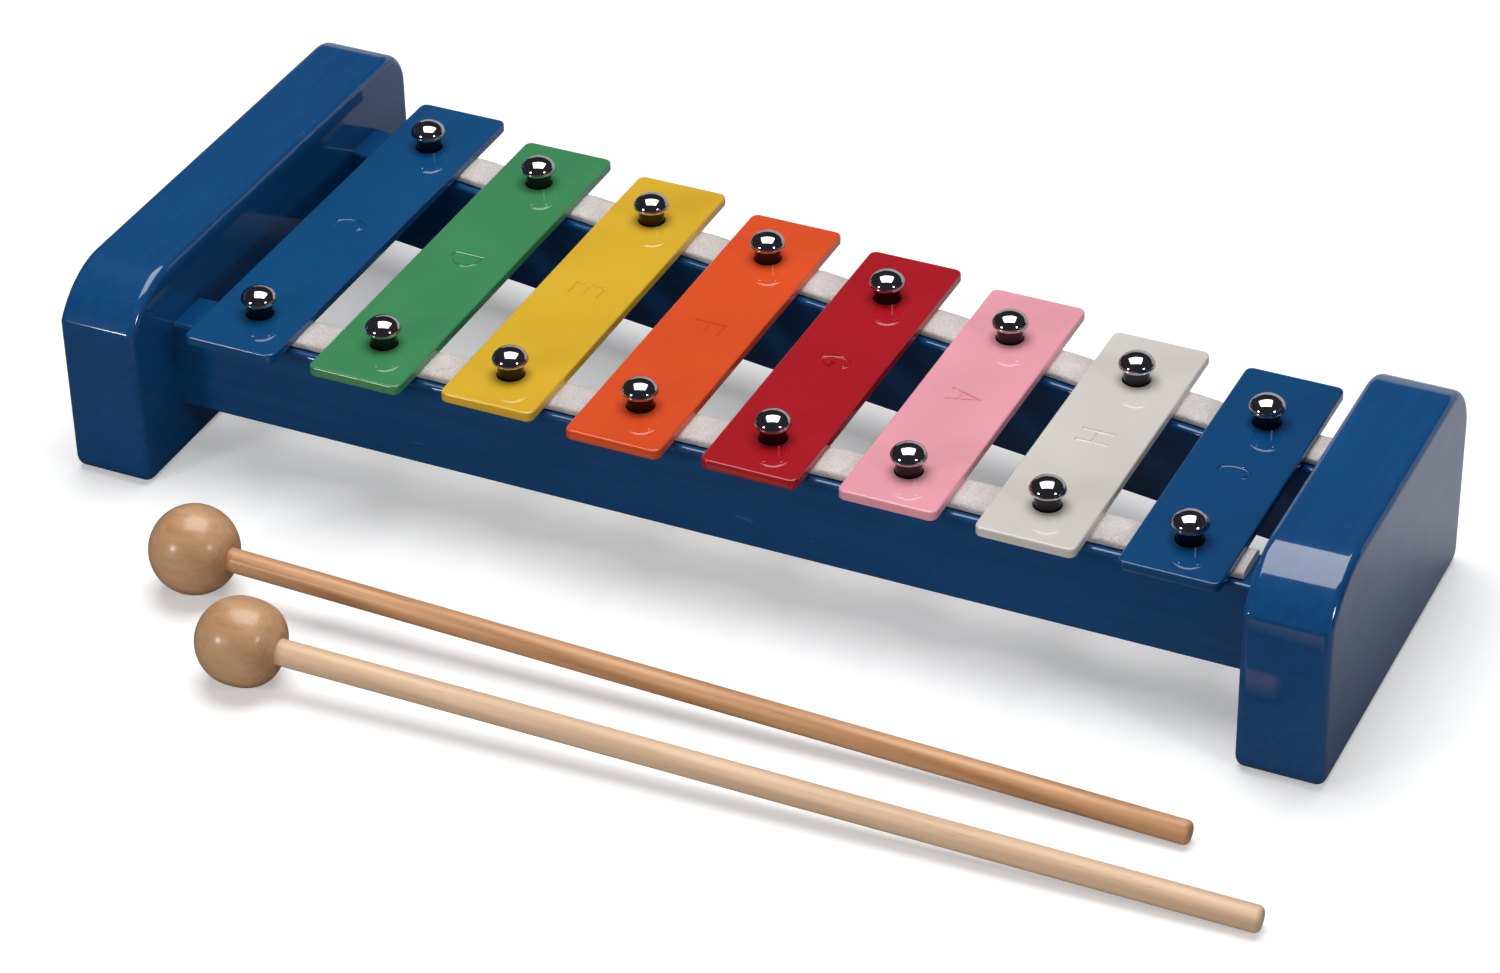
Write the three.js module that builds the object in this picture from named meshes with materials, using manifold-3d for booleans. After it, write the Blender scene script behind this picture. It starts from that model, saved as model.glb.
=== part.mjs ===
// A toy metal-bar xylophone: two end blocks, two rails with felt strips, eight tuned bars held
// loosely by domed pins, and a pair of wooden mallets lying in front. Millimetres, +Z up, +X
// towards the high notes, the player sits on the -Y side. Ground is z = 0.
import * as THREE from "three";
import { mergeVertices } from "three/addons/utils/BufferGeometryUtils.js";
import Module from "manifold-3d";

const wasm = await Module();
wasm.setup();

// Bars. Equal thickness, so a bar's length falls by the square root of its frequency ratio.
const BAR_WIDTH = 25;
const BAR_PITCH = 35;
const BAR_THICKNESS = 2.7;
const LOWEST_BAR_LENGTH = 125.5;
const SEMITONES_PER_HALVED_LENGTH = 24;
const BAR_CORNER_RADIUS = 2;
const BAR_EDGE_ROUNDING = 0.35;
const BAR_HOLE_RADIUS = 3.5;
// Each bar is drilled a little off, so its front edge is set back by its own amount.
const BARS = [
  { name: "bar_c_low", semitone: 0, setBack: -0.9, colour: 0x184b7c },
  { name: "bar_d", semitone: 2, setBack: -1, colour: 0x43885b },
  { name: "bar_e", semitone: 4, setBack: 1.5, colour: 0xdab335 },
  { name: "bar_f", semitone: 5, setBack: -1, colour: 0xdc552f },
  { name: "bar_g", semitone: 7, setBack: 0.5, colour: 0xae212c },
  { name: "bar_a", semitone: 9, setBack: 1.6, colour: 0xe5a0ad },
  { name: "bar_h", semitone: 11, setBack: 0.5, colour: 0xd0cbc7 },
  { name: "bar_c_high", semitone: 12, setBack: 0.9, colour: 0x184b7c },
];

// Frame heights, from the ground up.
const BLOCK_HEIGHT = 55;
const RAIL_BOTTOM_Z = 14;
const RAIL_HEIGHT = 24;
const RAIL_TOP_Z = RAIL_BOTTOM_Z + RAIL_HEIGHT;
const FELT_THICKNESS = 1.6;
const BAR_BOTTOM_Z = RAIL_TOP_Z + FELT_THICKNESS;
const BAR_TOP_Z = BAR_BOTTOM_Z + BAR_THICKNESS;

// Frame plan. The front rail and all front faces are straight; the back rail closes in.
const BLOCK_THICKNESS = 21.5;
const BLOCK_INNER_X = 143.8;
const BLOCK_FRONT_Y = -71;
const LOW_BLOCK_LENGTH = 141.6;
const HIGH_BLOCK_LENGTH = 101.3;
const BLOCK_SHOULDER_DEPTH = 20;
const BLOCK_SHOULDER_RADIUS = 23.7;
const BLOCK_BACK_RADIUS = 7;
const BLOCK_FOOT_RADIUS = 4;
const BLOCK_EDGE_ROUNDING = 1.8;
const RAIL_WIDTH = 14;
const FRONT_RAIL_FRONT_Y = -52.6;
const BACK_RAIL_FRONT_Y_LOW = 39.5;
const BACK_RAIL_FRONT_Y_HIGH = -3.3;
const BAR_FRONT_Y = -61.2;

// Felt strips lie on the rails, a little back of centre, from the first bar to the high block.
const FELT_WIDTH = 10.8;
const FELT_SET_BACK = 0.35;
const FELT_START_X = -135;
const FELT_END_X = 143.5;
const FELT_HOLE_RADIUS = 3.3;

// Pins: a domed head on a thick neck that stands on the rail, and a thin shank in the rail.
const PIN_HEAD_RADIUS = 4.5;
const PIN_HEAD_HEIGHT = 3.55;
const PIN_NECK_RADIUS = 3.1;
const PIN_SHANK_RADIUS = 1.6;
const PIN_SHANK_LENGTH = 15;
const PIN_TIP_LENGTH = 2.5;
const PIN_RISE = 3.8;
const PIN_SIDES = 16;
const PIN_DOME_STEPS = 5;

// Hidden dowels join each rail end to its block.
const DOWEL_RADIUS = 3;
const DOWEL_LENGTH = 20;
const DOWEL_HEIGHTS = { lower: 19.5, upper: 32 };
const DOWEL_SIDES = 16;

const FIT_GAP = 0.1;
const END_GAP = 0.3;
const CUT_OVERRUN = 1;
const MERGE_TOLERANCE = 1e-4;

// Mallets: each rests on its ball and on the tip of its stick. The front ball has square shoulders.
const MALLET_SIDES = 24;
const MALLET_BALL_STEPS = 9;
const MALLET_FACE_RADIUS = 4.6;
const MALLET_STICK_DEPTH = 9;
const MALLET_TIP_ROUNDING = 0.8;
const MALLETS = [
  {
    name: "mallet_rear",
    head: [-110.5, -103.1],
    tip: [144.5, -100.1],
    ballRadius: 11.2,
    squareness: 2,
    stickRadius: 3,
    headColour: 0xbc9675,
    stickColour: 0xba875b,
  },
  {
    name: "mallet_front",
    head: [-81.9, -130.8],
    tip: [169.2, -122.4],
    ballRadius: 10.8,
    squareness: 2.6,
    stickRadius: 3.25,
    headColour: 0xbc9675,
    stickColour: 0xd9b48c,
  },
];

const group = new THREE.Group();

function finish(colour, roughness, metalness) {
  return new THREE.MeshStandardMaterial({ color: colour, roughness, metalness });
}

const enamelOnWood = finish(0x184b7c, 0.35, 0);
const felt = finish(0xcdc3c3, 1, 0);
const chrome = finish(0xd8d8dc, 0.08, 1);
const plainWood = finish(0xcfa77c, 0.6, 0);

function addPart(name, geometry, material) {
  const mesh = new THREE.Mesh(geometry, material);
  mesh.name = name;
  group.add(mesh);
  return mesh;
}

// Turns closed triangles into a solid that booleans can use.
function toSolid(geometry) {
  const bare = geometry.clone();
  bare.deleteAttribute("normal");
  bare.deleteAttribute("uv");
  const merged = mergeVertices(bare, MERGE_TOLERANCE);
  return new wasm.Manifold(
    new wasm.Mesh({
      numProp: 3,
      vertProperties: new Float32Array(merged.attributes.position.array),
      triVerts: new Uint32Array(merged.index.array),
    }),
  );
}

function toGeometry(solid) {
  const mesh = solid.getMesh();
  const geometry = new THREE.BufferGeometry();
  geometry.setAttribute("position", new THREE.BufferAttribute(mesh.vertProperties, 3));
  geometry.setIndex(new THREE.BufferAttribute(mesh.triVerts, 1));
  geometry.computeVertexNormals();
  return geometry;
}

// The geometry with every tool cut out of it.
function cut(geometry, tools) {
  let solid = toSolid(geometry);
  for (const tool of tools) {
    solid = solid.subtract(toSolid(tool));
  }
  return toGeometry(solid);
}

function arc(centreX, centreY, radius, startDegrees, endDegrees, steps) {
  return Array.from({ length: steps + 1 }, (_, i) => {
    const angle = THREE.MathUtils.degToRad(startDegrees + ((endDegrees - startDegrees) * i) / steps);
    return new THREE.Vector2(centreX + radius * Math.cos(angle), centreY + radius * Math.sin(angle));
  });
}

function circle(centreX, centreY, radius, sides) {
  return arc(centreX, centreY, radius, 0, 360, sides).slice(0, sides);
}

// A solid of the outline's full size and the given depth, with its arrises rounded.
function roundedExtrusion(outline, holes, depth, rounding, steps) {
  const shape = new THREE.Shape(outline);
  shape.holes = holes.map((points) => new THREE.Path(points));
  const geometry = new THREE.ExtrudeGeometry(shape, {
    depth: depth - 2 * rounding,
    bevelEnabled: rounding > 0,
    bevelThickness: rounding,
    bevelSize: rounding,
    bevelOffset: -rounding,
    bevelSegments: steps,
    steps: 1,
  });
  geometry.translate(0, 0, rounding);
  return geometry;
}

// A round bar along +Z from z = 0.
function rod(radius, length, sides) {
  return new THREE.CylinderGeometry(radius, radius, length, sides)
    .rotateX(Math.PI / 2)
    .translate(0, 0, length / 2);
}

function backRailFrontY(x) {
  const share = (x + BLOCK_INNER_X) / (2 * BLOCK_INNER_X);
  return BACK_RAIL_FRONT_Y_LOW + share * (BACK_RAIL_FRONT_Y_HIGH - BACK_RAIL_FRONT_Y_LOW);
}

function backRailSlope() {
  return (BACK_RAIL_FRONT_Y_HIGH - BACK_RAIL_FRONT_Y_LOW) / (2 * BLOCK_INNER_X);
}

// Each rail's front edge, and its width measured along Y.
const RAILS = {
  front: { frontY: () => FRONT_RAIL_FRONT_Y, stretch: 1 },
  back: { frontY: backRailFrontY, stretch: Math.hypot(1, backRailSlope()) },
};

function railCentreY(rail, x) {
  return rail.frontY(x) + (rail.stretch * RAIL_WIDTH) / 2;
}

function stripOutline(rail, startX, endX, width) {
  const half = (rail.stretch * width) / 2;
  return [
    new THREE.Vector2(startX, railCentreY(rail, startX) - half),
    new THREE.Vector2(endX, railCentreY(rail, endX) - half),
    new THREE.Vector2(endX, railCentreY(rail, endX) + half),
    new THREE.Vector2(startX, railCentreY(rail, startX) + half),
  ];
}

function barCentreX(index) {
  return (index - (BARS.length - 1) / 2) * BAR_PITCH;
}

function blockProfile(length) {
  const backY = BLOCK_FRONT_Y + length;
  const foot = BLOCK_FOOT_RADIUS;
  const back = BLOCK_BACK_RADIUS;
  const shoulderY = BLOCK_FRONT_Y + BLOCK_SHOULDER_DEPTH;
  const shoulderZ = BLOCK_HEIGHT - BLOCK_SHOULDER_RADIUS;
  const sweep = THREE.MathUtils.radToDeg(Math.asin(BLOCK_SHOULDER_DEPTH / BLOCK_SHOULDER_RADIUS));
  return [
    ...arc(BLOCK_FRONT_Y + foot, foot, foot, 180, 270, 4),
    ...arc(backY - foot, foot, foot, 270, 360, 4),
    ...arc(backY - back, BLOCK_HEIGHT - back, back, 0, 90, 6),
    ...arc(shoulderY, shoulderZ, BLOCK_SHOULDER_RADIUS, 90, 90 + sweep, 8),
  ];
}

// Extrudes an outline drawn in the (Y, Z) plane along +X, starting at x.
function alongX(geometry, x) {
  const axes = new THREE.Matrix4().makeBasis(
    new THREE.Vector3(0, 1, 0),
    new THREE.Vector3(0, 0, 1),
    new THREE.Vector3(1, 0, 0),
  );
  return geometry.applyMatrix4(axes).translate(x, 0, 0);
}

function dowelSolid(rail, side, height, radius, length) {
  const x = side * BLOCK_INNER_X;
  return alongX(rod(radius, length, DOWEL_SIDES), x - length / 2).translate(0, railCentreY(rail, x), height);
}

function dowelHoles(rail, side) {
  return Object.values(DOWEL_HEIGHTS).map((height) =>
    dowelSolid(rail, side, height, DOWEL_RADIUS + FIT_GAP, DOWEL_LENGTH + 2 * END_GAP),
  );
}

function addEndBlock(name, side, length) {
  const body = roundedExtrusion(blockProfile(length), [], BLOCK_THICKNESS, BLOCK_EDGE_ROUNDING, 2);
  const x = side < 0 ? -BLOCK_INNER_X - BLOCK_THICKNESS : BLOCK_INNER_X;
  const holes = Object.values(RAILS).flatMap((rail) => dowelHoles(rail, side));
  addPart(name, cut(alongX(body, x), holes), enamelOnWood);
}

function addRail(railName) {
  const rail = RAILS[railName];
  const outline = stripOutline(rail, -BLOCK_INNER_X, BLOCK_INNER_X, RAIL_WIDTH);
  const body = roundedExtrusion(outline, [], RAIL_HEIGHT, 0, 0).translate(0, 0, RAIL_BOTTOM_Z);
  const holeDepth = PIN_SHANK_LENGTH + END_GAP;
  const pinHoles = BARS.map((_, i) => {
    const x = barCentreX(i);
    const hole = rod(PIN_SHANK_RADIUS + FIT_GAP, holeDepth + CUT_OVERRUN, PIN_SIDES);
    return hole.translate(x, railCentreY(rail, x), RAIL_TOP_Z - holeDepth);
  });
  const endHoles = [...dowelHoles(rail, -1), ...dowelHoles(rail, 1)];
  addPart(`rail_${railName}`, cut(body, [...pinHoles, ...endHoles]), enamelOnWood);
}

function addFelt(railName) {
  const rail = RAILS[railName];
  const outline = stripOutline(rail, FELT_START_X, FELT_END_X, FELT_WIDTH);
  const holes = BARS.map((_, i) => {
    const x = barCentreX(i);
    return circle(x, railCentreY(rail, x) - FELT_SET_BACK, FELT_HOLE_RADIUS, PIN_SIDES);
  });
  const strip = roundedExtrusion(outline, holes, FELT_THICKNESS, 0, 0);
  addPart(`felt_${railName}`, strip.translate(0, FELT_SET_BACK, RAIL_TOP_Z), felt);
}

function barLength(bar) {
  return LOWEST_BAR_LENGTH * 2 ** (-bar.semitone / SEMITONES_PER_HALVED_LENGTH);
}

function addBar(bar, index) {
  const x = barCentreX(index);
  const corner = BAR_CORNER_RADIUS;
  const left = x - BAR_WIDTH / 2 + corner;
  const right = x + BAR_WIDTH / 2 - corner;
  const front = BAR_FRONT_Y + bar.setBack + corner;
  const back = BAR_FRONT_Y + bar.setBack + barLength(bar) - corner;
  const outline = [
    ...arc(left, front, corner, 180, 270, 3),
    ...arc(right, front, corner, 270, 360, 3),
    ...arc(right, back, corner, 0, 90, 3),
    ...arc(left, back, corner, 90, 180, 3),
  ];
  const holes = Object.values(RAILS).map((rail) =>
    circle(x, railCentreY(rail, x), BAR_HOLE_RADIUS, PIN_SIDES),
  );
  const plate = roundedExtrusion(outline, holes, BAR_THICKNESS, BAR_EDGE_ROUNDING, 1);
  addPart(bar.name, plate.translate(0, 0, BAR_BOTTOM_Z), finish(bar.colour, 0.3, 0.1));
}

function pinProfile() {
  const rim = BAR_TOP_Z + PIN_RISE;
  const shankEnd = RAIL_TOP_Z - PIN_SHANK_LENGTH;
  const dome = Array.from({ length: PIN_DOME_STEPS + 1 }, (_, i) => {
    const angle = ((Math.PI / 2) * i) / PIN_DOME_STEPS;
    return [PIN_HEAD_RADIUS * Math.cos(angle), rim + PIN_HEAD_HEIGHT * Math.sin(angle)];
  });
  dome[PIN_DOME_STEPS][0] = 0;
  const points = [
    [0, shankEnd],
    [PIN_SHANK_RADIUS, shankEnd + PIN_TIP_LENGTH],
    [PIN_SHANK_RADIUS, RAIL_TOP_Z],
    [PIN_NECK_RADIUS, RAIL_TOP_Z],
    [PIN_NECK_RADIUS, rim],
    ...dome,
  ];
  return points;
}

// Lathes turn [radius, height] points about +Y, so each is stood up to turn about +Z.
function turned(points, sides) {
  const profile = points.map(([radius, height]) => new THREE.Vector2(radius, height));
  return new THREE.LatheGeometry(profile, sides).rotateX(Math.PI / 2);
}

function addPin(railName, bar, index) {
  const rail = RAILS[railName];
  const x = barCentreX(index);
  const note = bar.name.replace("bar_", "");
  const pin = addPart(`pin_${railName}_${note}`, turned(pinProfile(), PIN_SIDES), chrome);
  pin.position.set(x, railCentreY(rail, x), 0);
}

function addDowels(railName, side) {
  const end = side < 0 ? "low" : "high";
  for (const [level, height] of Object.entries(DOWEL_HEIGHTS)) {
    const dowel = dowelSolid(RAILS[railName], side, height, DOWEL_RADIUS, DOWEL_LENGTH);
    addPart(`dowel_${railName}_${end}_${level}`, dowel, plainWood);
  }
}

// A ball, round at the far side and superelliptic at the stick side, where a flat face ends it.
function malletBall(mallet) {
  const { ballRadius, squareness } = mallet;
  const power = 2 / squareness;
  const points = [[0, -ballRadius]];
  for (let i = 1; i <= MALLET_BALL_STEPS; i += 1) {
    const angle = (Math.PI / 2) * (i / MALLET_BALL_STEPS - 1);
    points.push([ballRadius * Math.cos(angle), ballRadius * Math.sin(angle)]);
  }
  for (let i = 1; i < MALLET_BALL_STEPS; i += 1) {
    const angle = (Math.PI / 2) * (i / MALLET_BALL_STEPS);
    const radius = ballRadius * Math.cos(angle) ** power;
    if (radius > MALLET_FACE_RADIUS) {
      points.push([radius, ballRadius * Math.sin(angle) ** power]);
    }
  }
  const faceHeight = points[points.length - 1][1];
  points.push([MALLET_FACE_RADIUS, faceHeight]);
  points.push([0, faceHeight]);
  const ball = turned(points, MALLET_SIDES);
  const socketStart = faceHeight - MALLET_STICK_DEPTH - END_GAP;
  const socketDepth = MALLET_STICK_DEPTH + END_GAP + CUT_OVERRUN;
  const socket = rod(mallet.stickRadius + FIT_GAP, socketDepth, MALLET_SIDES);
  return { geometry: cut(ball, [socket.translate(0, 0, socketStart)]), faceHeight };
}

function malletStick(mallet, start, end) {
  const radius = mallet.stickRadius;
  const tip = MALLET_TIP_ROUNDING;
  const points = [
    [0, start],
    [radius, start],
    [radius, end - tip],
    [radius - tip, end],
    [0, end],
  ];
  return turned(points, MALLET_SIDES);
}

function addMallet(mallet) {
  const head = new THREE.Vector3(...mallet.head, mallet.ballRadius);
  const tip = new THREE.Vector3(...mallet.tip, mallet.stickRadius);
  const reach = head.distanceTo(tip);
  const { geometry, faceHeight } = malletBall(mallet);
  const holder = new THREE.Group();
  holder.position.copy(head);
  const upright = new THREE.Vector3(0, 0, 1);
  holder.quaternion.setFromUnitVectors(upright, tip.clone().sub(head).normalize());
  group.add(holder);
  const ball = addPart(`${mallet.name}_head`, geometry, finish(mallet.headColour, 0.4, 0));
  const stickGeometry = malletStick(mallet, faceHeight - MALLET_STICK_DEPTH, reach);
  const stick = addPart(`${mallet.name}_stick`, stickGeometry, finish(mallet.stickColour, 0.5, 0));
  holder.add(ball, stick);
}

addEndBlock("end_block_low", -1, LOW_BLOCK_LENGTH);
addEndBlock("end_block_high", 1, HIGH_BLOCK_LENGTH);
for (const railName of Object.keys(RAILS)) {
  addRail(railName);
  addFelt(railName);
  addDowels(railName, -1);
  addDowels(railName, 1);
  BARS.forEach((bar, index) => addPin(railName, bar, index));
}
BARS.forEach(addBar);
MALLETS.forEach(addMallet);

// The part's origin is the bottom centre of its bounding box.
group.updateMatrixWorld(true);
const bounds = new THREE.Box3().setFromObject(group, true);
const centre = bounds.getCenter(new THREE.Vector3());
group.position.set(-centre.x, -centre.y, -bounds.min.z);

export default group;
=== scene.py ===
"""Looks, stage, light and camera for a toy metal-bar xylophone with two mallets."""

import math

import bmesh
import bpy
import numpy as np
from mathutils import Matrix, Vector, noise


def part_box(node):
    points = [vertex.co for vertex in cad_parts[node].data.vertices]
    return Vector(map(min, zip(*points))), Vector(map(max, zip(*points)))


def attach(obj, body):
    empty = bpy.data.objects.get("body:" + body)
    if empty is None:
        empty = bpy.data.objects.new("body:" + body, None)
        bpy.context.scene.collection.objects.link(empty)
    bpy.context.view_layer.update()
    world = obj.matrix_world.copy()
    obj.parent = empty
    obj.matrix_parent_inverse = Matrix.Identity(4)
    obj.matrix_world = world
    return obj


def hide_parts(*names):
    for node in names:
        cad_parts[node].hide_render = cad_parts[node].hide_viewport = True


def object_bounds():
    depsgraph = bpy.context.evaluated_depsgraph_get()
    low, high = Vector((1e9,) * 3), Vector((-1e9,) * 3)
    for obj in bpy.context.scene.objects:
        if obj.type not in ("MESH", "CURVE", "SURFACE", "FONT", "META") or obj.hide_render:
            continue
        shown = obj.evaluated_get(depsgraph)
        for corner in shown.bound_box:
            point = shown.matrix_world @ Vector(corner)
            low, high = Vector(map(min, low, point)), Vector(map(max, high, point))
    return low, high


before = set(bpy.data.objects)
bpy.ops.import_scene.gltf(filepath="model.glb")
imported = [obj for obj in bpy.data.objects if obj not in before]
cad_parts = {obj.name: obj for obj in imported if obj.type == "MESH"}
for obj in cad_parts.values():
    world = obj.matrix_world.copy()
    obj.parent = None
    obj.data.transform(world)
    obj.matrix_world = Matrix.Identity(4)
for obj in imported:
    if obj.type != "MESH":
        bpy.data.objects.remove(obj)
cad_low, cad_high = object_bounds()

MM = 0.001
NOTES = ("c_low", "d", "e", "f", "g", "a", "h", "c_high")
ROWS = ("front", "back")

# Paint and material colours, linear RGB.
BLUE = (0.005, 0.068, 0.212)
BAR_PAINTS = {
    "c_low": (0.004, 0.074, 0.215),
    "d": (0.052, 0.262, 0.102),
    "e": (0.74, 0.45, 0.028),
    "f": (0.76, 0.085, 0.018),
    "g": (0.42, 0.008, 0.016),
    "a": (0.89, 0.375, 0.45),
    "h": (0.69, 0.645, 0.60),
    "c_high": (0.003, 0.062, 0.190),
}
# Light blue on the frame's edges: partly chipped paint, partly a painted highlight.
CHIPPED_AND_GLINTING_EDGE = (0.30, 0.42, 0.60)
SCRATCH = (0.16, 0.27, 0.45)
WOOL, WOOL_SHADE = (0.72, 0.67, 0.65), (0.50, 0.45, 0.44)
FIBRE, FIBRE_SHADE = (0.80, 0.76, 0.74), (0.38, 0.34, 0.33)
# The third chrome colour is painted shade on the pins' necks, under the heads.
CHROME, CHROME_SMEAR, CHROME_PAINTED_SHADE = (0.56, 0.53, 0.56), (0.44, 0.41, 0.44), (0.045, 0.04, 0.045)
BALL_WOOD, BALL_GRAIN = (0.68, 0.39, 0.205), (0.53, 0.285, 0.135)
DARK_STICK, DARK_STICK_GRAIN = (0.72, 0.385, 0.19), (0.53, 0.25, 0.105)
PALE_STICK, PALE_STICK_GRAIN = (0.87, 0.60, 0.39), (0.77, 0.515, 0.32)
DOWEL_WOOD, DOWEL_GRAIN = (0.64, 0.42, 0.24), (0.5, 0.3, 0.16)
BLACK, WHITE = (0, 0, 0), (1, 1, 1)

# Rounded edges of the wooden frame and the bars.
BLOCK_SHOULDER_DEPTH = 20 * MM
BLOCK_SHOULDER_RADIUS = 23.7 * MM
BLOCK_CREASE_RADIUS = 2.4 * MM
# Radius of each block's top edge at the back; the longer, low block is the tighter one.
BLOCK_BACK_RADII = {"end_block_low": 11 * MM, "end_block_high": 16 * MM}
BLOCK_FOOT_RADIUS = 4 * MM
BLOCK_EASING = 2.2 * MM
RAIL_EASING = 1.1 * MM
RAIL_OVERRUN = 1.5 * MM
BAR_CORNER = 2 * MM
BAR_EASING = 0.55 * MM

# Felt strips: the front one stops a little short of the high block; the back one reaches it.
FELT_SHORT_OF_BLOCK = {"front": 6 * MM, "back": 0.0}
FELT_STEP = 0.9 * MM
FELT_SECTION_POINTS = 28
FELT_PRESS_REACH = 5 * MM
FELT_SWELL = 1.15 * MM
FELT_CROWN = 0.45
FELT_SIDE_POWER = 0.34
FELT_TOP_POWER = 0.5
FELT_FUZZ = 0.10 * MM
FELT_WANDER = 0.28 * MM

# Stamped note letters, and the strokes each is made of in a box one high and LETTER_ASPECT wide.
LETTER_HEIGHT = 7.8 * MM
LETTER_ASPECT = 0.62
STROKE_RADIUS = 0.55 * MM
STROKE_LIFT = 0.12 * MM
STROKE_SIDES = 10

HOLE_RADIUS = 3.5 * MM
HOLE_FLARE = 0.15 * MM

PIN_HEAD_HEIGHT = 3.55 * MM
PIN_HEAD_RADIUS = 4.55 * MM
PIN_NECK_RADIUS = 3.25 * MM
PIN_SHANK_RADIUS = 1.6 * MM
PIN_ROLL_RADIUS = 0.4 * MM

MALLET_FACE_RADIUS = 4.6 * MM
STICK_FOOT = 0.5 * MM
STICK_TIP_RADIUS = 1.3 * MM
STICK_TAPER = 0.035

# Edges sharper than EASED_ANGLE are rounded over; edges flatter than SMOOTH_ANGLE are shaded smooth.
EASED_ANGLE = math.radians(60)
SMOOTH_ANGLE = math.radians(38)


# ---------------------------------------------------------------- materials


class Shader:
    """One material's node tree, with short calls for adding and joining nodes."""

    def __init__(self, name):
        self.material = bpy.data.materials.new(name)
        self.material.use_nodes = True
        self.tree = self.material.node_tree
        self.surface = self.tree.nodes["Principled BSDF"]

    def add(self, kind, inputs=None, **settings):
        node = self.tree.nodes.new("ShaderNode" + kind)
        for key, value in settings.items():
            setattr(node, key, value)
        for key, value in (inputs or {}).items():
            self.feed(node, key, value)
        return node

    def feed(self, node, key, value):
        if hasattr(value, "is_linked"):
            self.tree.links.new(value, node.inputs[key])
        else:
            node.inputs[key].default_value = value

    def set(self, **inputs):
        for key, value in inputs.items():
            self.feed(self.surface, key.replace("_", " "), value)

    def place(self, stretch=(1, 1, 1)):
        """Object coordinates in metres, each axis scaled by stretch."""
        where = self.add("TexCoord").outputs["Object"]
        return self.add("Mapping", {"Vector": where, "Scale": stretch}).outputs["Vector"]

    def noise(self, scale, detail=3.0, stretch=(1, 1, 1), distortion=0.0):
        values = {"Vector": self.place(stretch), "Scale": scale, "Detail": detail, "Distortion": distortion}
        return self.add("TexNoise", values).outputs["Fac"]

    def ramp(self, value, stops):
        node = self.add("ValToRGB", {"Fac": value})
        elements = node.color_ramp.elements
        while len(elements) < len(stops):
            elements.new(0.5)
        for element, (position, colour) in zip(elements, stops):
            element.position = position
            element.color = (*colour, 1)
        return node.outputs["Color"]

    def span(self, value, low, high):
        """Value from 0..1 mapped to low..high."""
        return self.add("MapRange", {"Value": value, "To Min": low, "To Max": high}).outputs["Result"]

    def mix(self, share, first, second):
        node = self.add("Mix", data_type="RGBA")
        for index, value in ((0, share), (6, first), (7, second)):
            if hasattr(value, "is_linked"):
                self.tree.links.new(value, node.inputs[index])
            else:
                node.inputs[index].default_value = value if index == 0 else (*value, 1)
        return node.outputs[2]

    def maths(self, operation, first, second):
        return self.add("Math", {0: first, 1: second}, operation=operation).outputs["Value"]

    def bump(self, *layers):
        """Stacks (height, strength, distance in metres) layers into one normal."""
        normal = None
        for height, strength, distance in layers:
            inputs = {"Height": height, "Strength": strength, "Distance": distance}
            if normal is not None:
                inputs["Normal"] = normal
            normal = self.add("Bump", inputs).outputs["Normal"]
        self.feed(self.surface, "Normal", normal)


def tint(colour, factor):
    return tuple(min(1, c * factor) for c in colour)


def edge_mask(shader, radius, sharpness):
    """1 along convex edges and 0 on flats, from how far a rounded normal leans from the true one."""
    rounded = shader.add("Bevel", {"Radius": radius}, samples=4).outputs["Normal"]
    true_normal = shader.add("NewGeometry").outputs["Normal"]
    lean = shader.add("VectorMath", {0: rounded, 1: true_normal}, operation="DOT_PRODUCT")
    return shader.maths("MULTIPLY", shader.maths("SUBTRACT", 1.0, lean.outputs["Value"]), sharpness)


def enamel_on_metal(name, colour):
    """Gloss stoving enamel on sheet steel: faint orange peel, dust specks and soft cloudiness."""
    s = Shader(name)
    cloud = s.noise(28, 2)
    base = s.ramp(cloud, [(0.3, tint(colour, 0.93)), (0.7, tint(colour, 1.05))])
    speck = s.ramp(s.noise(2600, 1), [(0.70, BLACK), (0.78, WHITE)])
    base = s.mix(s.maths("MULTIPLY", speck, 0.35), base, tint(colour, 0.6))
    s.set(Base_Color=base, Roughness=s.span(s.noise(160, 3), 0.32, 0.44))
    s.set(Coat_Weight=0.9, Coat_Roughness=0.03, Coat_IOR=1.65, Specular_IOR_Level=0.05)
    s.bump((s.noise(420, 2), 0.16, 0.05 * MM), (s.noise(2300, 2), 0.1, 0.015 * MM))
    return s.material


def enamel_on_wood(name, grain_stretch, end_stretch):
    """Gloss enamel over beech: grain telegraphs through, arrises are thin and nicked, and their lighter
    patches are partly a painted highlight.
    """
    s = Shader(name)
    cloud = s.noise(16, 3)
    base = s.ramp(cloud, [(0.3, tint(BLUE, 0.86)), (0.7, tint(BLUE, 1.08))])
    grain = s.noise(420, 4, grain_stretch, 0.4)
    base = s.mix(0.22, base, s.ramp(grain, [(0.35, tint(BLUE, 0.6)), (0.65, tint(BLUE, 1.25))]))
    patches = s.ramp(s.noise(330, 3), [(0.62, BLACK), (0.68, WHITE)])
    # Lighter patches along the edges: partly chipped paint, partly a painted highlight on the arrises and
    # the crease.
    worn_and_glinting = s.maths("MULTIPLY", edge_mask(s, 1.2 * MM, 9.0), patches)
    scratch = s.ramp(s.noise(90, 2, (1.0, 9.0, 4.0), 1.5), [(0.735, BLACK), (0.75, WHITE)])
    base = s.mix(s.maths("MULTIPLY", worn_and_glinting, 0.55), base, CHIPPED_AND_GLINTING_EDGE)
    base = s.mix(s.maths("MULTIPLY", scratch, 0.18), base, SCRATCH)
    s.set(Base_Color=base, Roughness=s.span(s.noise(70, 4), 0.26, 0.4))
    s.set(Coat_Weight=0.9, Coat_Roughness=0.06, Coat_IOR=1.65, Specular_IOR_Level=0.06)
    lines = s.noise(800, 3, end_stretch, 0.2)
    s.bump((grain, 0.3, 0.07 * MM), (lines, 0.22, 0.05 * MM), (s.noise(240, 3), 0.2, 0.08 * MM))
    return s.material


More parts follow.
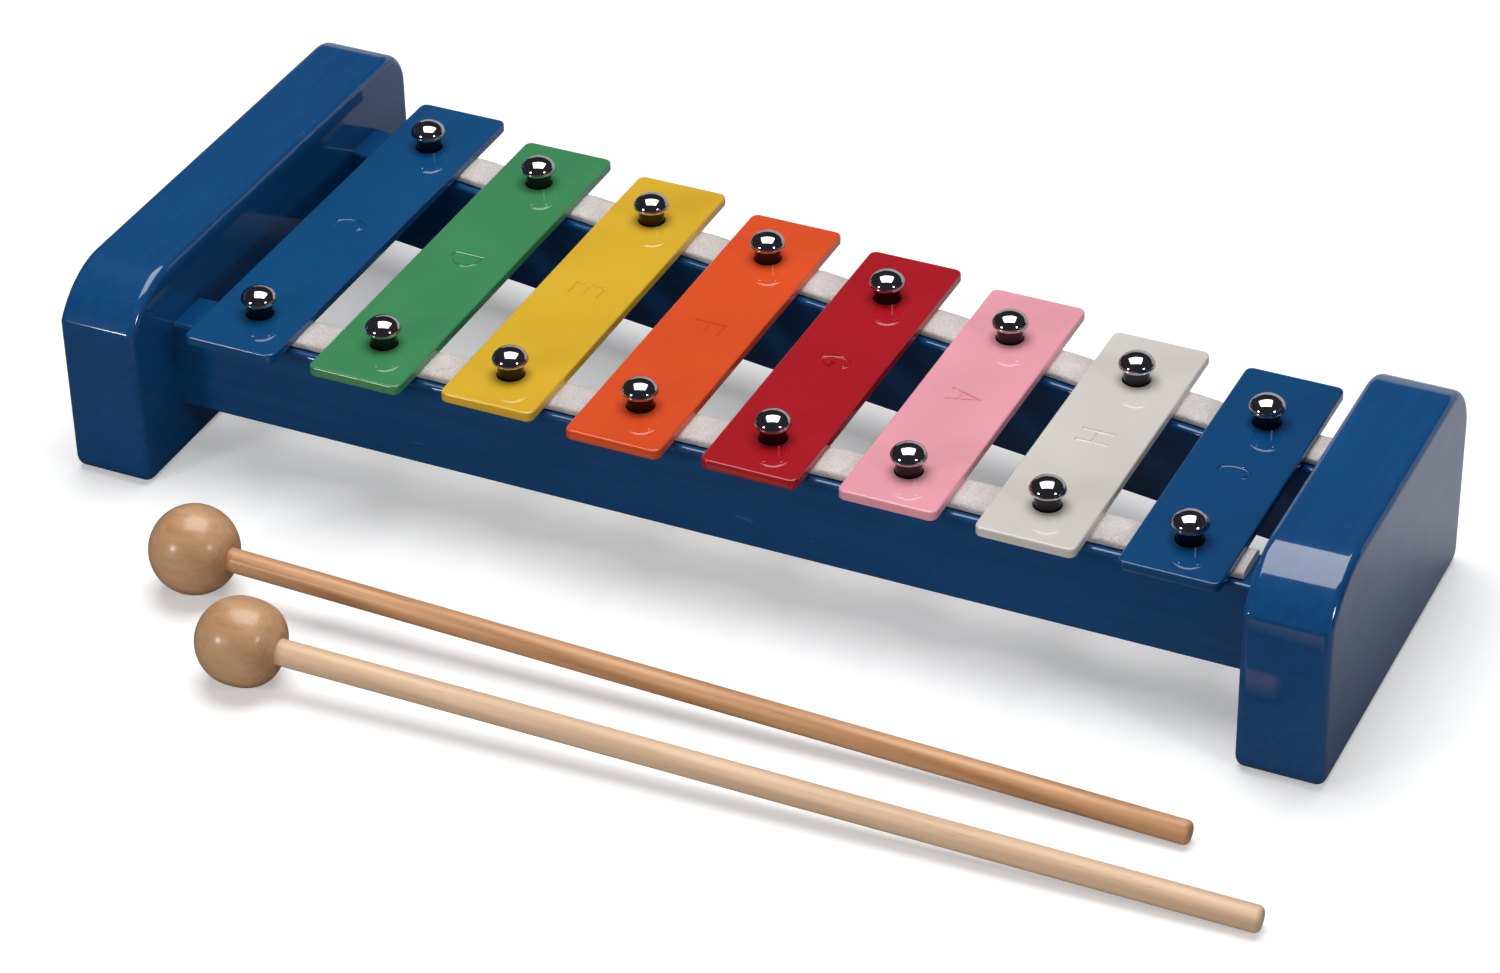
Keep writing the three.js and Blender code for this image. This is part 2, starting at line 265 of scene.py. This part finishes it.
def felt_material():
    """Pressed wool felt: matted fibres, pale with greyer flecks."""
    s = Shader("felt_wool")
    patch = s.ramp(s.noise(130, 4), [(0.3, WOOL_SHADE), (0.7, WOOL)])
    fibre = s.noise(1500, 6, (1, 1, 1), 2.5)
    base = s.mix(0.5, patch, s.ramp(fibre, [(0.36, FIBRE_SHADE), (0.6, FIBRE)]))
    s.set(Base_Color=base, Roughness=0.96, Specular_IOR_Level=0.15, Sheen_Weight=0.5, Sheen_Roughness=0.5)
    s.bump((s.noise(420, 4, (1, 1, 1), 1.0), 0.5, 0.25 * MM), (fibre, 0.7, 0.16 * MM))
    return s.material


def chrome_material(rim):
    """Bright nickel-chrome plate with fine handling marks; below the head's rim it is darkened with painted
    shade.
    """
    s = Shader("pin_chrome_plate")
    smear = s.noise(700, 3)
    bright = s.ramp(smear, [(0.3, CHROME_SMEAR), (0.7, CHROME)])
    height = s.add("SeparateXYZ", {"Vector": s.place()}).outputs["Z"]
    # Painted shade: the plate darkens below the head's rim, where the head shades the neck.
    below = {"Value": height, "From Min": rim - 0.35 * MM, "From Max": rim}
    above_painted_shade = s.add("MapRange", below).outputs["Result"]
    s.set(Base_Color=s.mix(above_painted_shade, CHROME_PAINTED_SHADE, bright), Metallic=1.0)
    s.set(Roughness=s.span(s.noise(1600, 3), 0.035, 0.09))
    s.bump((s.noise(900, 2), 0.06, 0.02 * MM))
    return s.material


def turned_wood(name, light, dark, ring_scale, along, gloss, varnish):
    """Beech or ramin with its grain along local Z. Gloss is the roughness, varnish the coat weight."""
    s = Shader(name)
    where = s.place((1, 1, along))
    values = {"Vector": where, "Scale": ring_scale, "Distortion": 2.5, "Detail": 2.0, "Detail Scale": 1.0}
    rings = s.add("TexWave", values, wave_type="BANDS", bands_direction="DIAGONAL").outputs["Fac"]
    base = s.ramp(rings, [(0.0, dark), (0.45, tint(light, 0.92)), (1.0, light)])
    streak = s.ramp(s.noise(620, 5, (1, 1, 0.035)), [(0.34, tint(dark, 0.72)), (0.62, light)])
    base = s.mix(0.28, base, streak)
    pores = s.ramp(s.noise(2600, 2, (1, 1, 0.05)), [(0.66, BLACK), (0.74, WHITE)])
    base = s.mix(s.maths("MULTIPLY", pores, 0.45), base, tint(dark, 0.5))
    s.set(Base_Color=base, Roughness=s.span(s.noise(300, 3), gloss, gloss + 0.14))
    s.set(Coat_Weight=varnish, Coat_Roughness=0.2, Specular_IOR_Level=0.3)
    s.bump((s.noise(1500, 4, (1, 1, 0.04)), 0.35, 0.06 * MM), (pores, -0.25, 0.05 * MM))
    return s.material


# ---------------------------------------------------------------- mesh helpers


def new_object(name, mesh):
    piece = bpy.data.objects.new(name, mesh)
    bpy.context.scene.collection.objects.link(piece)
    return piece


def object_from(bm, name):
    bmesh.ops.recalc_face_normals(bm, faces=bm.faces)
    mesh = bpy.data.meshes.new(name)
    bm.to_mesh(mesh)
    bm.free()
    return new_object(name, mesh)


def arc(centre, radius, start, end, steps):
    """Points on an arc from start to end, in degrees."""
    angles = [math.radians(start + (end - start) * i / steps) for i in range(steps + 1)]
    return [(centre[0] + radius * math.cos(a), centre[1] + radius * math.sin(a)) for a in angles]


def prism(name, outline, low, high, place):
    """A closed prism: outline points (u, v) swept from low to high, set in space by place(u, v, w)."""
    bm = bmesh.new()
    ends = [[bm.verts.new(place(u, v, w)) for u, v in outline] for w in (low, high)]
    count = len(outline)
    for i in range(count):
        j = (i + 1) % count
        bm.faces.new((ends[0][i], ends[0][j], ends[1][j], ends[1][i]))
    bm.faces.new(ends[0])
    bm.faces.new(ends[1])
    return object_from(bm, name)


def skin(bm, ring_pairs):
    """Joins each pair of rings of equal count with four-sided faces."""
    for a, b in ring_pairs:
        for k in range(len(a)):
            n = (k + 1) % len(a)
            bm.faces.new((a[k], a[n], b[n], b[k]))


def lathe(name, profile, sides, wobble=0.0):
    """Turns (radius, height) points about Z. The first and last points lie on the axis."""
    bm = bmesh.new()
    rings = []
    for radius, height in profile[1:-1]:
        ring = []
        for k in range(sides):
            angle = 2 * math.pi * k / sides
            spot = Vector((math.cos(angle), math.sin(angle), height * 9))
            r = radius * (1 + wobble * noise.noise(spot * 2.2))
            ring.append(bm.verts.new((r * math.cos(angle), r * math.sin(angle), height)))
        rings.append(ring)
    first = bm.verts.new((0, 0, profile[0][1]))
    last = bm.verts.new((0, 0, profile[-1][1]))
    for k in range(sides):
        n = (k + 1) % sides
        bm.faces.new((first, rings[0][n], rings[0][k]))
        bm.faces.new((last, rings[-1][k], rings[-1][n]))
        for lower, upper in zip(rings, rings[1:]):
            bm.faces.new((lower[k], lower[n], upper[n], upper[k]))
    return object_from(bm, name)


def apply_modifiers(piece):
    evaluated = piece.evaluated_get(bpy.context.evaluated_depsgraph_get())
    mesh = bpy.data.meshes.new_from_object(evaluated)
    piece.modifiers.clear()
    piece.data = mesh


def ease_edges(piece, width, segments):
    bevel = piece.modifiers.new("easing", "BEVEL")
    bevel.width = width
    bevel.segments = segments
    bevel.limit_method = "ANGLE"
    bevel.angle_limit = EASED_ANGLE
    bevel.use_clamp_overlap = True
    apply_modifiers(piece)


def cut_out(piece, cutters):
    for cutter in cutters:
        modifier = piece.modifiers.new("cut", "BOOLEAN")
        modifier.operation = "DIFFERENCE"
        modifier.solver = "EXACT"
        modifier.object = cutter
    bpy.context.view_layer.update()
    apply_modifiers(piece)
    for cutter in cutters:
        bpy.data.objects.remove(cutter)


def shade(piece, material):
    """Smooth faces, sharp where they meet at more than SMOOTH_ANGLE, flats kept flat."""
    bm = bmesh.new()
    bm.from_mesh(piece.data)
    for face in bm.faces:
        face.smooth = True
    for edge in bm.edges:
        edge.smooth = len(edge.link_faces) == 2 and edge.calc_face_angle(0) < SMOOTH_ANGLE
    bm.to_mesh(piece.data)
    bm.free()
    piece.data.materials.clear()
    piece.data.materials.append(material)
    weighted = piece.modifiers.new("flat_faces", "WEIGHTED_NORMAL")
    weighted.keep_sharp = True
    weighted.weight = 90


def stand_for(piece, node, body):
    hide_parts(node)
    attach(piece, body)


# ---------------------------------------------------------------- the frame's own sizes


def pin_centre(row, note):
    low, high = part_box(f"pin_{row}_{note}")
    return (low + high) / 2


def rail_line(row):
    """The rail's centre line as a function of X, through its first and last pins."""
    first, last = pin_centre(row, NOTES[0]), pin_centre(row, NOTES[-1])
    slope = (last.y - first.y) / (last.x - first.x)
    return lambda x: first.y + slope * (x - first.x), math.hypot(1, slope)


def stick_axis(node):
    """Start, end and radius of a turned stick, from its vertices."""
    points = np.array([v.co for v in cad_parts[node].data.vertices], float)
    middle = (points.min(0) + points.max(0)) / 2
    direction = np.linalg.svd(points - points.mean(0), full_matrices=False)[2][0]
    direction *= np.sign(direction[0])
    along = (points - middle) @ direction
    radius = np.linalg.norm(points - middle - np.outer(along, direction), axis=1).max()
    return Vector(middle + direction * along.min()), Vector(middle + direction * along.max()), radius


# ---------------------------------------------------------------- wooden frame


def block_outline(low, high, back):
    """Side view of an end block: flat top, wide shoulder falling to a soft crease at the front."""
    foot = BLOCK_FOOT_RADIUS
    crease = BLOCK_CREASE_RADIUS
    shoulder = (low.y + BLOCK_SHOULDER_DEPTH, high.z - BLOCK_SHOULDER_RADIUS)
    # The crease arc touches the vertical front and the shoulder arc from inside.
    inset = BLOCK_SHOULDER_RADIUS - crease
    across = shoulder[0] - (low.y + crease)
    crease_sweep = math.degrees(math.acos(max(-1, min(1, across / inset))))
    crease_centre = (low.y + crease, shoulder[1] + inset * math.sin(math.radians(crease_sweep)))
    return (
        arc((low.y + foot, low.z + foot), foot, 180, 270, 10)
        + arc((high.y - foot, low.z + foot), foot, 270, 360, 10)
        + arc((high.y - back, high.z - back), back, 0, 90, 16)
        + arc(shoulder, BLOCK_SHOULDER_RADIUS, 90, 180 - crease_sweep, 28)
        + arc(crease_centre, crease, 180 - crease_sweep, 180, 8)[1:]
    )


def build_block(node, material):
    low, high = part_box(node)
    outline = block_outline(low, high, BLOCK_BACK_RADII[node])
    piece = prism(f"{node}_body", outline, low.x, high.x, lambda u, v, w: (w, u, v))
    ease_edges(piece, BLOCK_EASING, 5)
    shade(piece, material)
    stand_for(piece, node, "frame")


def build_rail(row, material):
    node = f"rail_{row}"
    low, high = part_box(node)
    centre_y, stretch = rail_line(row)
    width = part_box("rail_front")[1].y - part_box("rail_front")[0].y
    half = stretch * width / 2
    start, end = low.x - RAIL_OVERRUN, high.x + RAIL_OVERRUN
    outline = [
        (start, centre_y(start) - half),
        (end, centre_y(end) - half),
        (end, centre_y(end) + half),
        (start, centre_y(start) + half),
    ]
    piece = prism(f"{node}_body", outline, low.z, high.z, lambda u, v, w: (u, v, w))
    ease_edges(piece, RAIL_EASING, 4)
    shade(piece, material)
    stand_for(piece, node, "frame")


def under_bar(x, reach):
    """1 where x is well under a bar, 0 well clear of one, smooth between."""
    nearest = 0.0
    for note in NOTES:
        low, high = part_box(f"bar_{note}")
        gap = max(low.x - x, x - high.x)
        share = min(1.0, max(0.0, 0.5 - gap / reach))
        nearest = max(nearest, share * share * (3 - 2 * share))
    return nearest


def build_felt(row, material):
    """A soft strip, pressed flat under the bars and swelling a little between them."""
    node = f"felt_{row}"
    low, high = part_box(node)
    centre_y, stretch = rail_line(row)
    strip_low, strip_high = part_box("felt_front")
    half = (strip_high.y - strip_low.y) / 2
    set_back = (strip_low.y + strip_high.y) / 2 - pin_centre("front", NOTES[0]).y
    thickness = high.z - low.z
    end = high.x - FELT_SHORT_OF_BLOCK[row]
    steps = int((end - low.x) / FELT_STEP)
    row_shift = 9 if row == "back" else 0
    bm = bmesh.new()
    rings = []
    for i in range(steps + 1):
        x = low.x + (end - low.x) * i / steps
        press = under_bar(x, FELT_PRESS_REACH)
        swell = FELT_SWELL * (1 - press)
        ring = []
        for k in range(FELT_SECTION_POINTS):
            angle = 2 * math.pi * (k + 0.5) / FELT_SECTION_POINTS
            across = math.copysign(abs(math.cos(angle)) ** FELT_SIDE_POWER, math.cos(angle))
            up = math.copysign(abs(math.sin(angle)) ** FELT_TOP_POWER, math.sin(angle))
            fuzz = noise.noise(Vector((x * 900, across * 5, up * 3 + row_shift)))
            drift = noise.noise(Vector((x * 60, math.copysign(4, across), 2)))
            y_offset = across * (half + FELT_FUZZ * fuzz + FELT_WANDER * drift)
            crown = swell * max(0, up) * (1 - FELT_CROWN * across * across)
            nap = FELT_FUZZ * fuzz * (1 - press) * max(0, up)
            z = low.z + thickness * (0.5 + 0.5 * up) + (crown + nap)
            ring.append(bm.verts.new((x, centre_y(x) + set_back + y_offset * stretch, z)))
        rings.append(ring)
    skin(bm, zip(rings, rings[1:]))
    bm.faces.new(rings[0])
    bm.faces.new(rings[-1])
    piece = object_from(bm, f"{node}_strip")
    shade(piece, material)
    stand_for(piece, node, "frame")


# ---------------------------------------------------------------- bars


def letter_strokes(letter):
    """Strokes of a plain capital, as lists of (right, up) points, up from 0 to 1."""
    w = LETTER_ASPECT
    bowl = w / 2
    turns = np.radians(np.linspace(48, 312, 17))
    open_ring = [(bowl + bowl * math.cos(a), 0.5 + 0.5 * math.sin(a)) for a in turns]
    strokes = {
        "C": [open_ring],
        "D": [
            [(0, 0), (0, 1), (0.3 * w, 1)] + arc((0.3 * w, 0.5), 0.5, 80, -80, 12) + [(0.3 * w, 0), (0, 0)],
        ],
        "E": [[(w, 1), (0, 1), (0, 0), (w, 0)], [(0, 0.5), (0.8 * w, 0.5)]],
        "F": [[(w, 1), (0, 1), (0, 0)], [(0, 0.5), (0.8 * w, 0.5)]],
        "G": [open_ring + [(w, 0.45), (0.6 * w, 0.45)]],
        "A": [[(0, 0), (w / 2, 1), (w, 0)], [(0.2 * w, 0.38), (0.8 * w, 0.38)]],
        "H": [[(0, 0), (0, 1)], [(w, 0), (w, 1)], [(0, 0.5), (w, 0.5)]],
    }
    return strokes[letter]


def stroke_cutter(points, centre, top):
    """A round-section tube along the stroke. Letters read with their tops towards +X."""
    path = []
    for right, up in points:
        x = centre.x + (up - 0.5) * LETTER_HEIGHT
        y = centre.y - (right - LETTER_ASPECT / 2) * LETTER_HEIGHT
        path.append(Vector((x, y, top + STROKE_LIFT)))
    closed = (path[0] - path[-1]).length < 1e-6
    if closed:
        path = path[:-1]
    bm = bmesh.new()
    rings = []
    count = len(path)
    sides = STROKE_SIDES
    for i, point in enumerate(path):
        before = path[i - 1] if closed or i > 0 else point
        after = path[(i + 1) % count] if closed or i < count - 1 else point
        heading = ((point - before).normalized() + (after - point).normalized()).normalized()
        side = Vector((-heading.y, heading.x, 0))
        if not closed and i in (0, count - 1):
            point = point + heading * STROKE_RADIUS * (0.6 if i else -0.6)
        ring = []
        for k in range(sides):
            angle = 2 * math.pi * k / sides
            offset = side * math.cos(angle) + Vector((0, 0, math.sin(angle)))
            ring.append(bm.verts.new(point + offset * STROKE_RADIUS))
        rings.append(ring)
    pairs = list(zip(rings, rings[1:] + rings[:1])) if closed else list(zip(rings, rings[1:]))
    skin(bm, pairs)
    if not closed:
        bm.faces.new(rings[0])
        bm.faces.new(rings[-1])
    return object_from(bm, "stroke")


def hole_cutter(centre, low_z, high_z):
    """A round hole whose mouths flare, as a painted edge does."""
    radius, flare, reach = HOLE_RADIUS, HOLE_FLARE, 1 * MM
    profile = [
        (0, low_z - reach),
        (radius + flare + reach, low_z - reach),
        (radius + flare, low_z),
        (radius, low_z + flare),
        (radius, high_z - flare),
        (radius + 0.3 * flare, high_z - 0.3 * flare),
        (radius + flare, high_z),
        (radius + flare + reach, high_z + reach),
        (0, high_z + reach),
    ]
    cutter = lathe("hole", profile, 40)
    cutter.location = (centre.x, centre.y, 0)
    return cutter


def build_bar(note, material):
    node = f"bar_{note}"
    low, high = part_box(node)
    c = BAR_CORNER
    outline = (
        arc((low.x + c, low.y + c), c, 180, 270, 8)
        + arc((high.x - c, low.y + c), c, 270, 360, 8)
        + arc((high.x - c, high.y - c), c, 0, 90, 8)
        + arc((low.x + c, high.y - c), c, 90, 180, 8)
    )
    piece = prism(f"{node}_plate", outline, low.z, high.z, lambda u, v, w: (u, v, w))
    ease_edges(piece, BAR_EASING, 4)
    holes = [hole_cutter(pin_centre(row, note), low.z, high.z) for row in ROWS]
    middle = (low + high) / 2
    letter = note[0].upper()
    strokes = [stroke_cutter(points, middle, high.z) for points in letter_strokes(letter)]
    cut_out(piece, holes + strokes)
    shade(piece, material)
    stand_for(piece, node, node)


# ---------------------------------------------------------------- pins


def pin_profile(low_z, rail_top, rim, top):
    """Domed head with a rolled rim, spool-shaped neck, shank and point."""
    head, neck, shank = PIN_HEAD_RADIUS, PIN_NECK_RADIUS, PIN_SHANK_RADIUS
    roll = PIN_ROLL_RADIUS
    dome_base = rim + roll
    dome = []
    for i in range(0, 19):
        angle = math.radians(90 * i / 18)
        dome.append((head * math.cos(angle), dome_base + (top - dome_base) * math.sin(angle)))
    dome[-1] = (0, top)
    turns = np.radians([-90, -60, -30])
    under = [(head - roll + roll * math.cos(a), dome_base + roll * math.sin(a)) for a in turns]
    return (
        [(0, low_z), (0.3 * shank, low_z + 0.6 * MM)]
        + [(shank, low_z + 2.5 * MM), (shank, rail_top - 0.1 * MM)]
        + [(neck - 0.2 * MM, rail_top - 0.1 * MM), (neck, rail_top + 0.2 * MM), (neck, rim - 0.6 * MM)]
        + [(neck + 0.15 * MM, rim - 0.2 * MM), (neck + 0.5 * MM, rim)]
        + under
        + dome
    )


def build_pin(row, note, material):
    node = f"pin_{row}_{note}"
    low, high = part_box(node)
    rail_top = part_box(f"rail_{row}")[1].z
    rim = high.z - PIN_HEAD_HEIGHT
    piece = lathe(f"{node}_turned", pin_profile(low.z, rail_top, rim, high.z), 48)
    piece.location = ((low.x + high.x) / 2, (low.y + high.y) / 2, 0)
    shade(piece, material)
    stand_for(piece, node, "frame")


# ---------------------------------------------------------------- mallets


def stick_matrix(start, direction):
    return Matrix.Translation(start) @ direction.to_track_quat("Z", "Y").to_matrix().to_4x4()


def ball_profile(radius, face_height, face_radius, squareness):
    points = [(0, -radius)]
    steps = 22
    for i in range(1, steps + 1):
        angle = -math.pi / 2 + math.pi / 2 * i / steps
        points.append((radius * math.cos(angle), radius * math.sin(angle)))
    for i in range(1, steps):
        angle = math.pi / 2 * i / steps
        r = radius * math.cos(angle) ** (2 / squareness)
        z = radius * math.sin(angle) ** (2 / squareness)
        if r > face_radius + 0.5 * MM and z < face_height - 0.15 * MM:
            points.append((r, z))
    points.append((face_radius + 0.2 * MM, face_height - 0.1 * MM))
    points.append((face_radius - 0.3 * MM, face_height))
    points.append((0, face_height))
    return points


def build_mallet_head(name, start, direction, squareness, material):
    low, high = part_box(f"{name}_head")
    radius = (high.y - low.y) / 2
    centre = start + direction * ((low + high) / 2 - start).dot(direction)
    centre += direction * ((low.x + radius) - centre.x) / direction.x
    face_height = (high.x - centre.x) / direction.x
    profile = ball_profile(radius, face_height, MALLET_FACE_RADIUS, squareness)
    head = lathe(f"{name}_ball", profile, 72, 0.004)
    head.matrix_world = stick_matrix(centre, direction)
    shade(head, material)
    stand_for(head, f"{name}_head", name)


def stick_profile(radius, length):
    """A slim rod, tapering slightly to a rounded tip."""
    tip = STICK_TIP_RADIUS
    points = [(0, 0), (radius, 0)]
    steps = 60
    for i in range(steps + 1):
        height = STICK_FOOT + (length - tip - STICK_FOOT) * i / steps
        points.append((radius * (1 - STICK_TAPER * i / steps), height))
    for angle in (25, 50, 75):
        a = math.radians(angle)
        end_radius = radius * (1 - STICK_TAPER) - tip * (1 - math.cos(a))
        points.append((end_radius, length - tip + tip * math.sin(a)))
    points.append((0, length))
    return points


def build_mallet(name, squareness, head_material, stick_material):
    start, end, radius = stick_axis(f"{name}_stick")
    direction = (end - start).normalized()
    build_mallet_head(name, start, direction, squareness, head_material)
    stick = lathe(f"{name}_handle", stick_profile(radius, (end - start).length), 36, 0.012)
    stick.matrix_world = stick_matrix(start, direction)
    shade(stick, stick_material)
    stand_for(stick, f"{name}_stick", name)


# ---------------------------------------------------------------- stage, light and camera

FLOOR_SIZE = 6.0
FLOOR_GAP = 0.02 * MM
# How far behind the middle of the object the mirrored floor reaches its full brightness.
FLOOR_FALLOFF = 0.17
FLOOR_DIM, FLOOR_BRIGHT = (0.07, 0.07, 0.08), (0.55, 0.55, 0.60)
FLOOR_DIFFUSE = (0.45, 0.45, 0.45)
CAMERA_AZIMUTH = 25.46
CAMERA_ELEVATION = 34.452
CAMERA_ROLL = math.radians(-1.175)
CAMERA_DISTANCE = 1.1236
CAMERA_LENS = 109.87
AIM_FROM_CENTRE = Vector((0.0, 0.0091, -0.0156))


def direction_to(azimuth, elevation):
    """Unit vector from the object, angles in degrees: azimuth 0 is in front, positive to the right."""
    a, e = math.radians(azimuth), math.radians(elevation)
    return Vector((math.sin(a) * math.cos(e), -math.cos(a) * math.cos(e), math.sin(e)))


def build_floor():
    """White paper. The camera sees it fully lit; reflections see it fall off towards the dark front.

    It is clear from below, so the underside of the object can be seen through it.
    """
    mesh = bpy.data.meshes.new("floor")
    h = FLOOR_SIZE / 2
    mesh.from_pydata([(-h, -h, 0), (h, -h, 0), (h, h, 0), (-h, h, 0)], [], [(0, 1, 2, 3)])
    floor = new_object("floor", mesh)
    floor.location.z = cad_low.z - FLOOR_GAP
    s = Shader("floor_paper")
    rays = s.add("LightPath").outputs
    seen = rays["Is Camera Ray"]
    spot = s.add("SeparateXYZ", {"Vector": s.place()}).outputs
    depth = s.maths("ADD", spot["Y"], s.maths("MULTIPLY", spot["X"], 0.5))
    share = s.add("MapRange", {"Value": depth, "From Min": 0.0, "From Max": FLOOR_FALLOFF}).outputs["Result"]
    falloff = s.ramp(share, [(0.0, FLOOR_DIM), (1.0, FLOOR_BRIGHT)])
    unseen = s.mix(rays["Is Glossy Ray"], FLOOR_DIFFUSE, falloff)
    paper = s.ramp(s.noise(3, 2), [(0.3, (0.90, 0.90, 0.90)), (0.7, (0.94, 0.94, 0.94))])
    s.set(Base_Color=s.mix(seen, unseen, paper), Roughness=0.9, Specular_IOR_Level=0.05)
    s.set(Emission_Color=(1, 1, 1, 1), Emission_Strength=s.maths("MULTIPLY", seen, 0.3))
    s.set(Alpha=s.maths("SUBTRACT", 1.0, s.add("NewGeometry").outputs["Backfacing"]))
    mesh.materials.append(s.material)


def build_backdrop():
    """A low white screen behind the floor, out of the picture, that only reflections see."""
    mesh = bpy.data.meshes.new("backdrop")
    half, height, away = 1.4, 0.55, 1.5
    mesh.from_pydata(
        [(-half, away, 0), (half, away, 0), (half, away, height), (-half, away, height)], [], [(0, 1, 2, 3)]
    )
    backdrop = new_object("backdrop", mesh)
    s = Shader("backdrop_screen")
    s.set(Base_Color=(0.8, 0.8, 0.8, 1), Emission_Color=(1, 1, 1, 1), Emission_Strength=0.4)
    mesh.materials.append(s.material)
    backdrop.visible_camera = False


def area_light(name, azimuth, elevation, distance, size, energy, mirrored=True):
    """A rectangular lamp aimed at the object, in degrees, metres and watts.

    One that is not mirrored never shows in reflections.
    """
    light = bpy.data.lights.new(name, "AREA")
    light.shape = "RECTANGLE"
    light.size, light.size_y = size
    light.energy = energy
    lamp = bpy.data.objects.new(name, light)
    bpy.context.scene.collection.objects.link(lamp)
    away = direction_to(azimuth, elevation)
    lamp.location = (cad_low + cad_high) / 2 + away * distance
    lamp.rotation_euler = away.to_track_quat("Z", "Y").to_euler()
    lamp.visible_glossy = mirrored


def build_light():
    area_light("softbox_above", -159, 78, 0.95, (0.86, 0.74), 9.3)
    area_light("lamp_left", -33, 21, 1.15, (0.17, 0.17), 2.4)
    area_light("lamp_right", 71, 28, 1.15, (0.16, 0.16), 1.8)
    area_light("fill_front", 10, 22, 1.1, (1.5, 0.5), 2.5, mirrored=False)
    world = bpy.data.worlds.new("studio")
    bpy.context.scene.world = world
    world.use_nodes = True
    nodes, links = world.node_tree.nodes, world.node_tree.links
    background = nodes["Background"]
    seen = nodes.new("ShaderNodeLightPath")
    choose = nodes.new("ShaderNodeMix")
    choose.data_type = "RGBA"
    choose.inputs[6].default_value = (0.035, 0.035, 0.04, 1)
    choose.inputs[7].default_value = (1.0, 1.0, 1.0, 1)
    links.new(seen.outputs["Is Camera Ray"], choose.inputs[0])
    links.new(choose.outputs[2], background.inputs["Color"])
    bpy.context.scene.view_settings.view_transform = "Standard"


def build_camera():
    camera = bpy.data.cameras.new("camera")
    camera.lens = CAMERA_LENS
    camera.sensor_width = 36
    camera.clip_start = 0.01
    eye = bpy.data.objects.new("camera", camera)
    bpy.context.scene.collection.objects.link(eye)
    az = math.radians(CAMERA_AZIMUTH)
    back = direction_to(CAMERA_AZIMUTH, CAMERA_ELEVATION)
    right = Vector((math.cos(az), math.sin(az), 0))
    up = back.cross(right)
    rolled_right = right * math.cos(CAMERA_ROLL) + up * math.sin(CAMERA_ROLL)
    rolled_up = back.cross(rolled_right)
    aim = (cad_low + cad_high) / 2 + AIM_FROM_CENTRE
    turn = Matrix((rolled_right, rolled_up, back)).transposed().to_4x4()
    eye.matrix_world = Matrix.Translation(aim + back * CAMERA_DISTANCE) @ turn
    bpy.context.scene.camera = eye


# ---------------------------------------------------------------- build

block_enamel = enamel_on_wood("enamel_on_block", (1.0, 0.06, 1.0), (1.0, 0.03, 1.0))
rail_enamel = enamel_on_wood("enamel_on_rail", (0.05, 1.0, 1.0), (0.03, 1.0, 1.0))
felt = felt_material()
chrome = chrome_material(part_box("pin_front_c_low")[1].z - PIN_HEAD_HEIGHT)
for block in ("end_block_low", "end_block_high"):
    build_block(block, block_enamel)
for row in ROWS:
    build_rail(row, rail_enamel)
    build_felt(row, felt)
for note in NOTES:
    build_bar(note, enamel_on_metal(f"enamel_{note}", BAR_PAINTS[note]))
    for row in ROWS:
        build_pin(row, note, chrome)

ball_wood = turned_wood(
    "ball_beech", BALL_WOOD, BALL_GRAIN, ring_scale=26, along=0.7, gloss=0.26, varnish=0.5
)
dark_stick = turned_wood(
    "stick_beech", DARK_STICK, DARK_STICK_GRAIN, ring_scale=90, along=0.08, gloss=0.34, varnish=0.3
)
pale_stick = turned_wood(
    "stick_ramin", PALE_STICK, PALE_STICK_GRAIN, ring_scale=80, along=0.08, gloss=0.4, varnish=0.2
)
build_mallet("mallet_rear", 2.0, ball_wood, dark_stick)
build_mallet("mallet_front", 2.6, ball_wood, pale_stick)

dowel_wood = turned_wood(
    "dowel_beech", DOWEL_WOOD, DOWEL_GRAIN, ring_scale=90, along=1.0, gloss=0.5, varnish=0.0
)
for name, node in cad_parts.items():
    if name.startswith("dowel_"):
        node.data.materials.clear()
        node.data.materials.append(dowel_wood)

build_floor()
build_backdrop()
build_light()
build_camera()
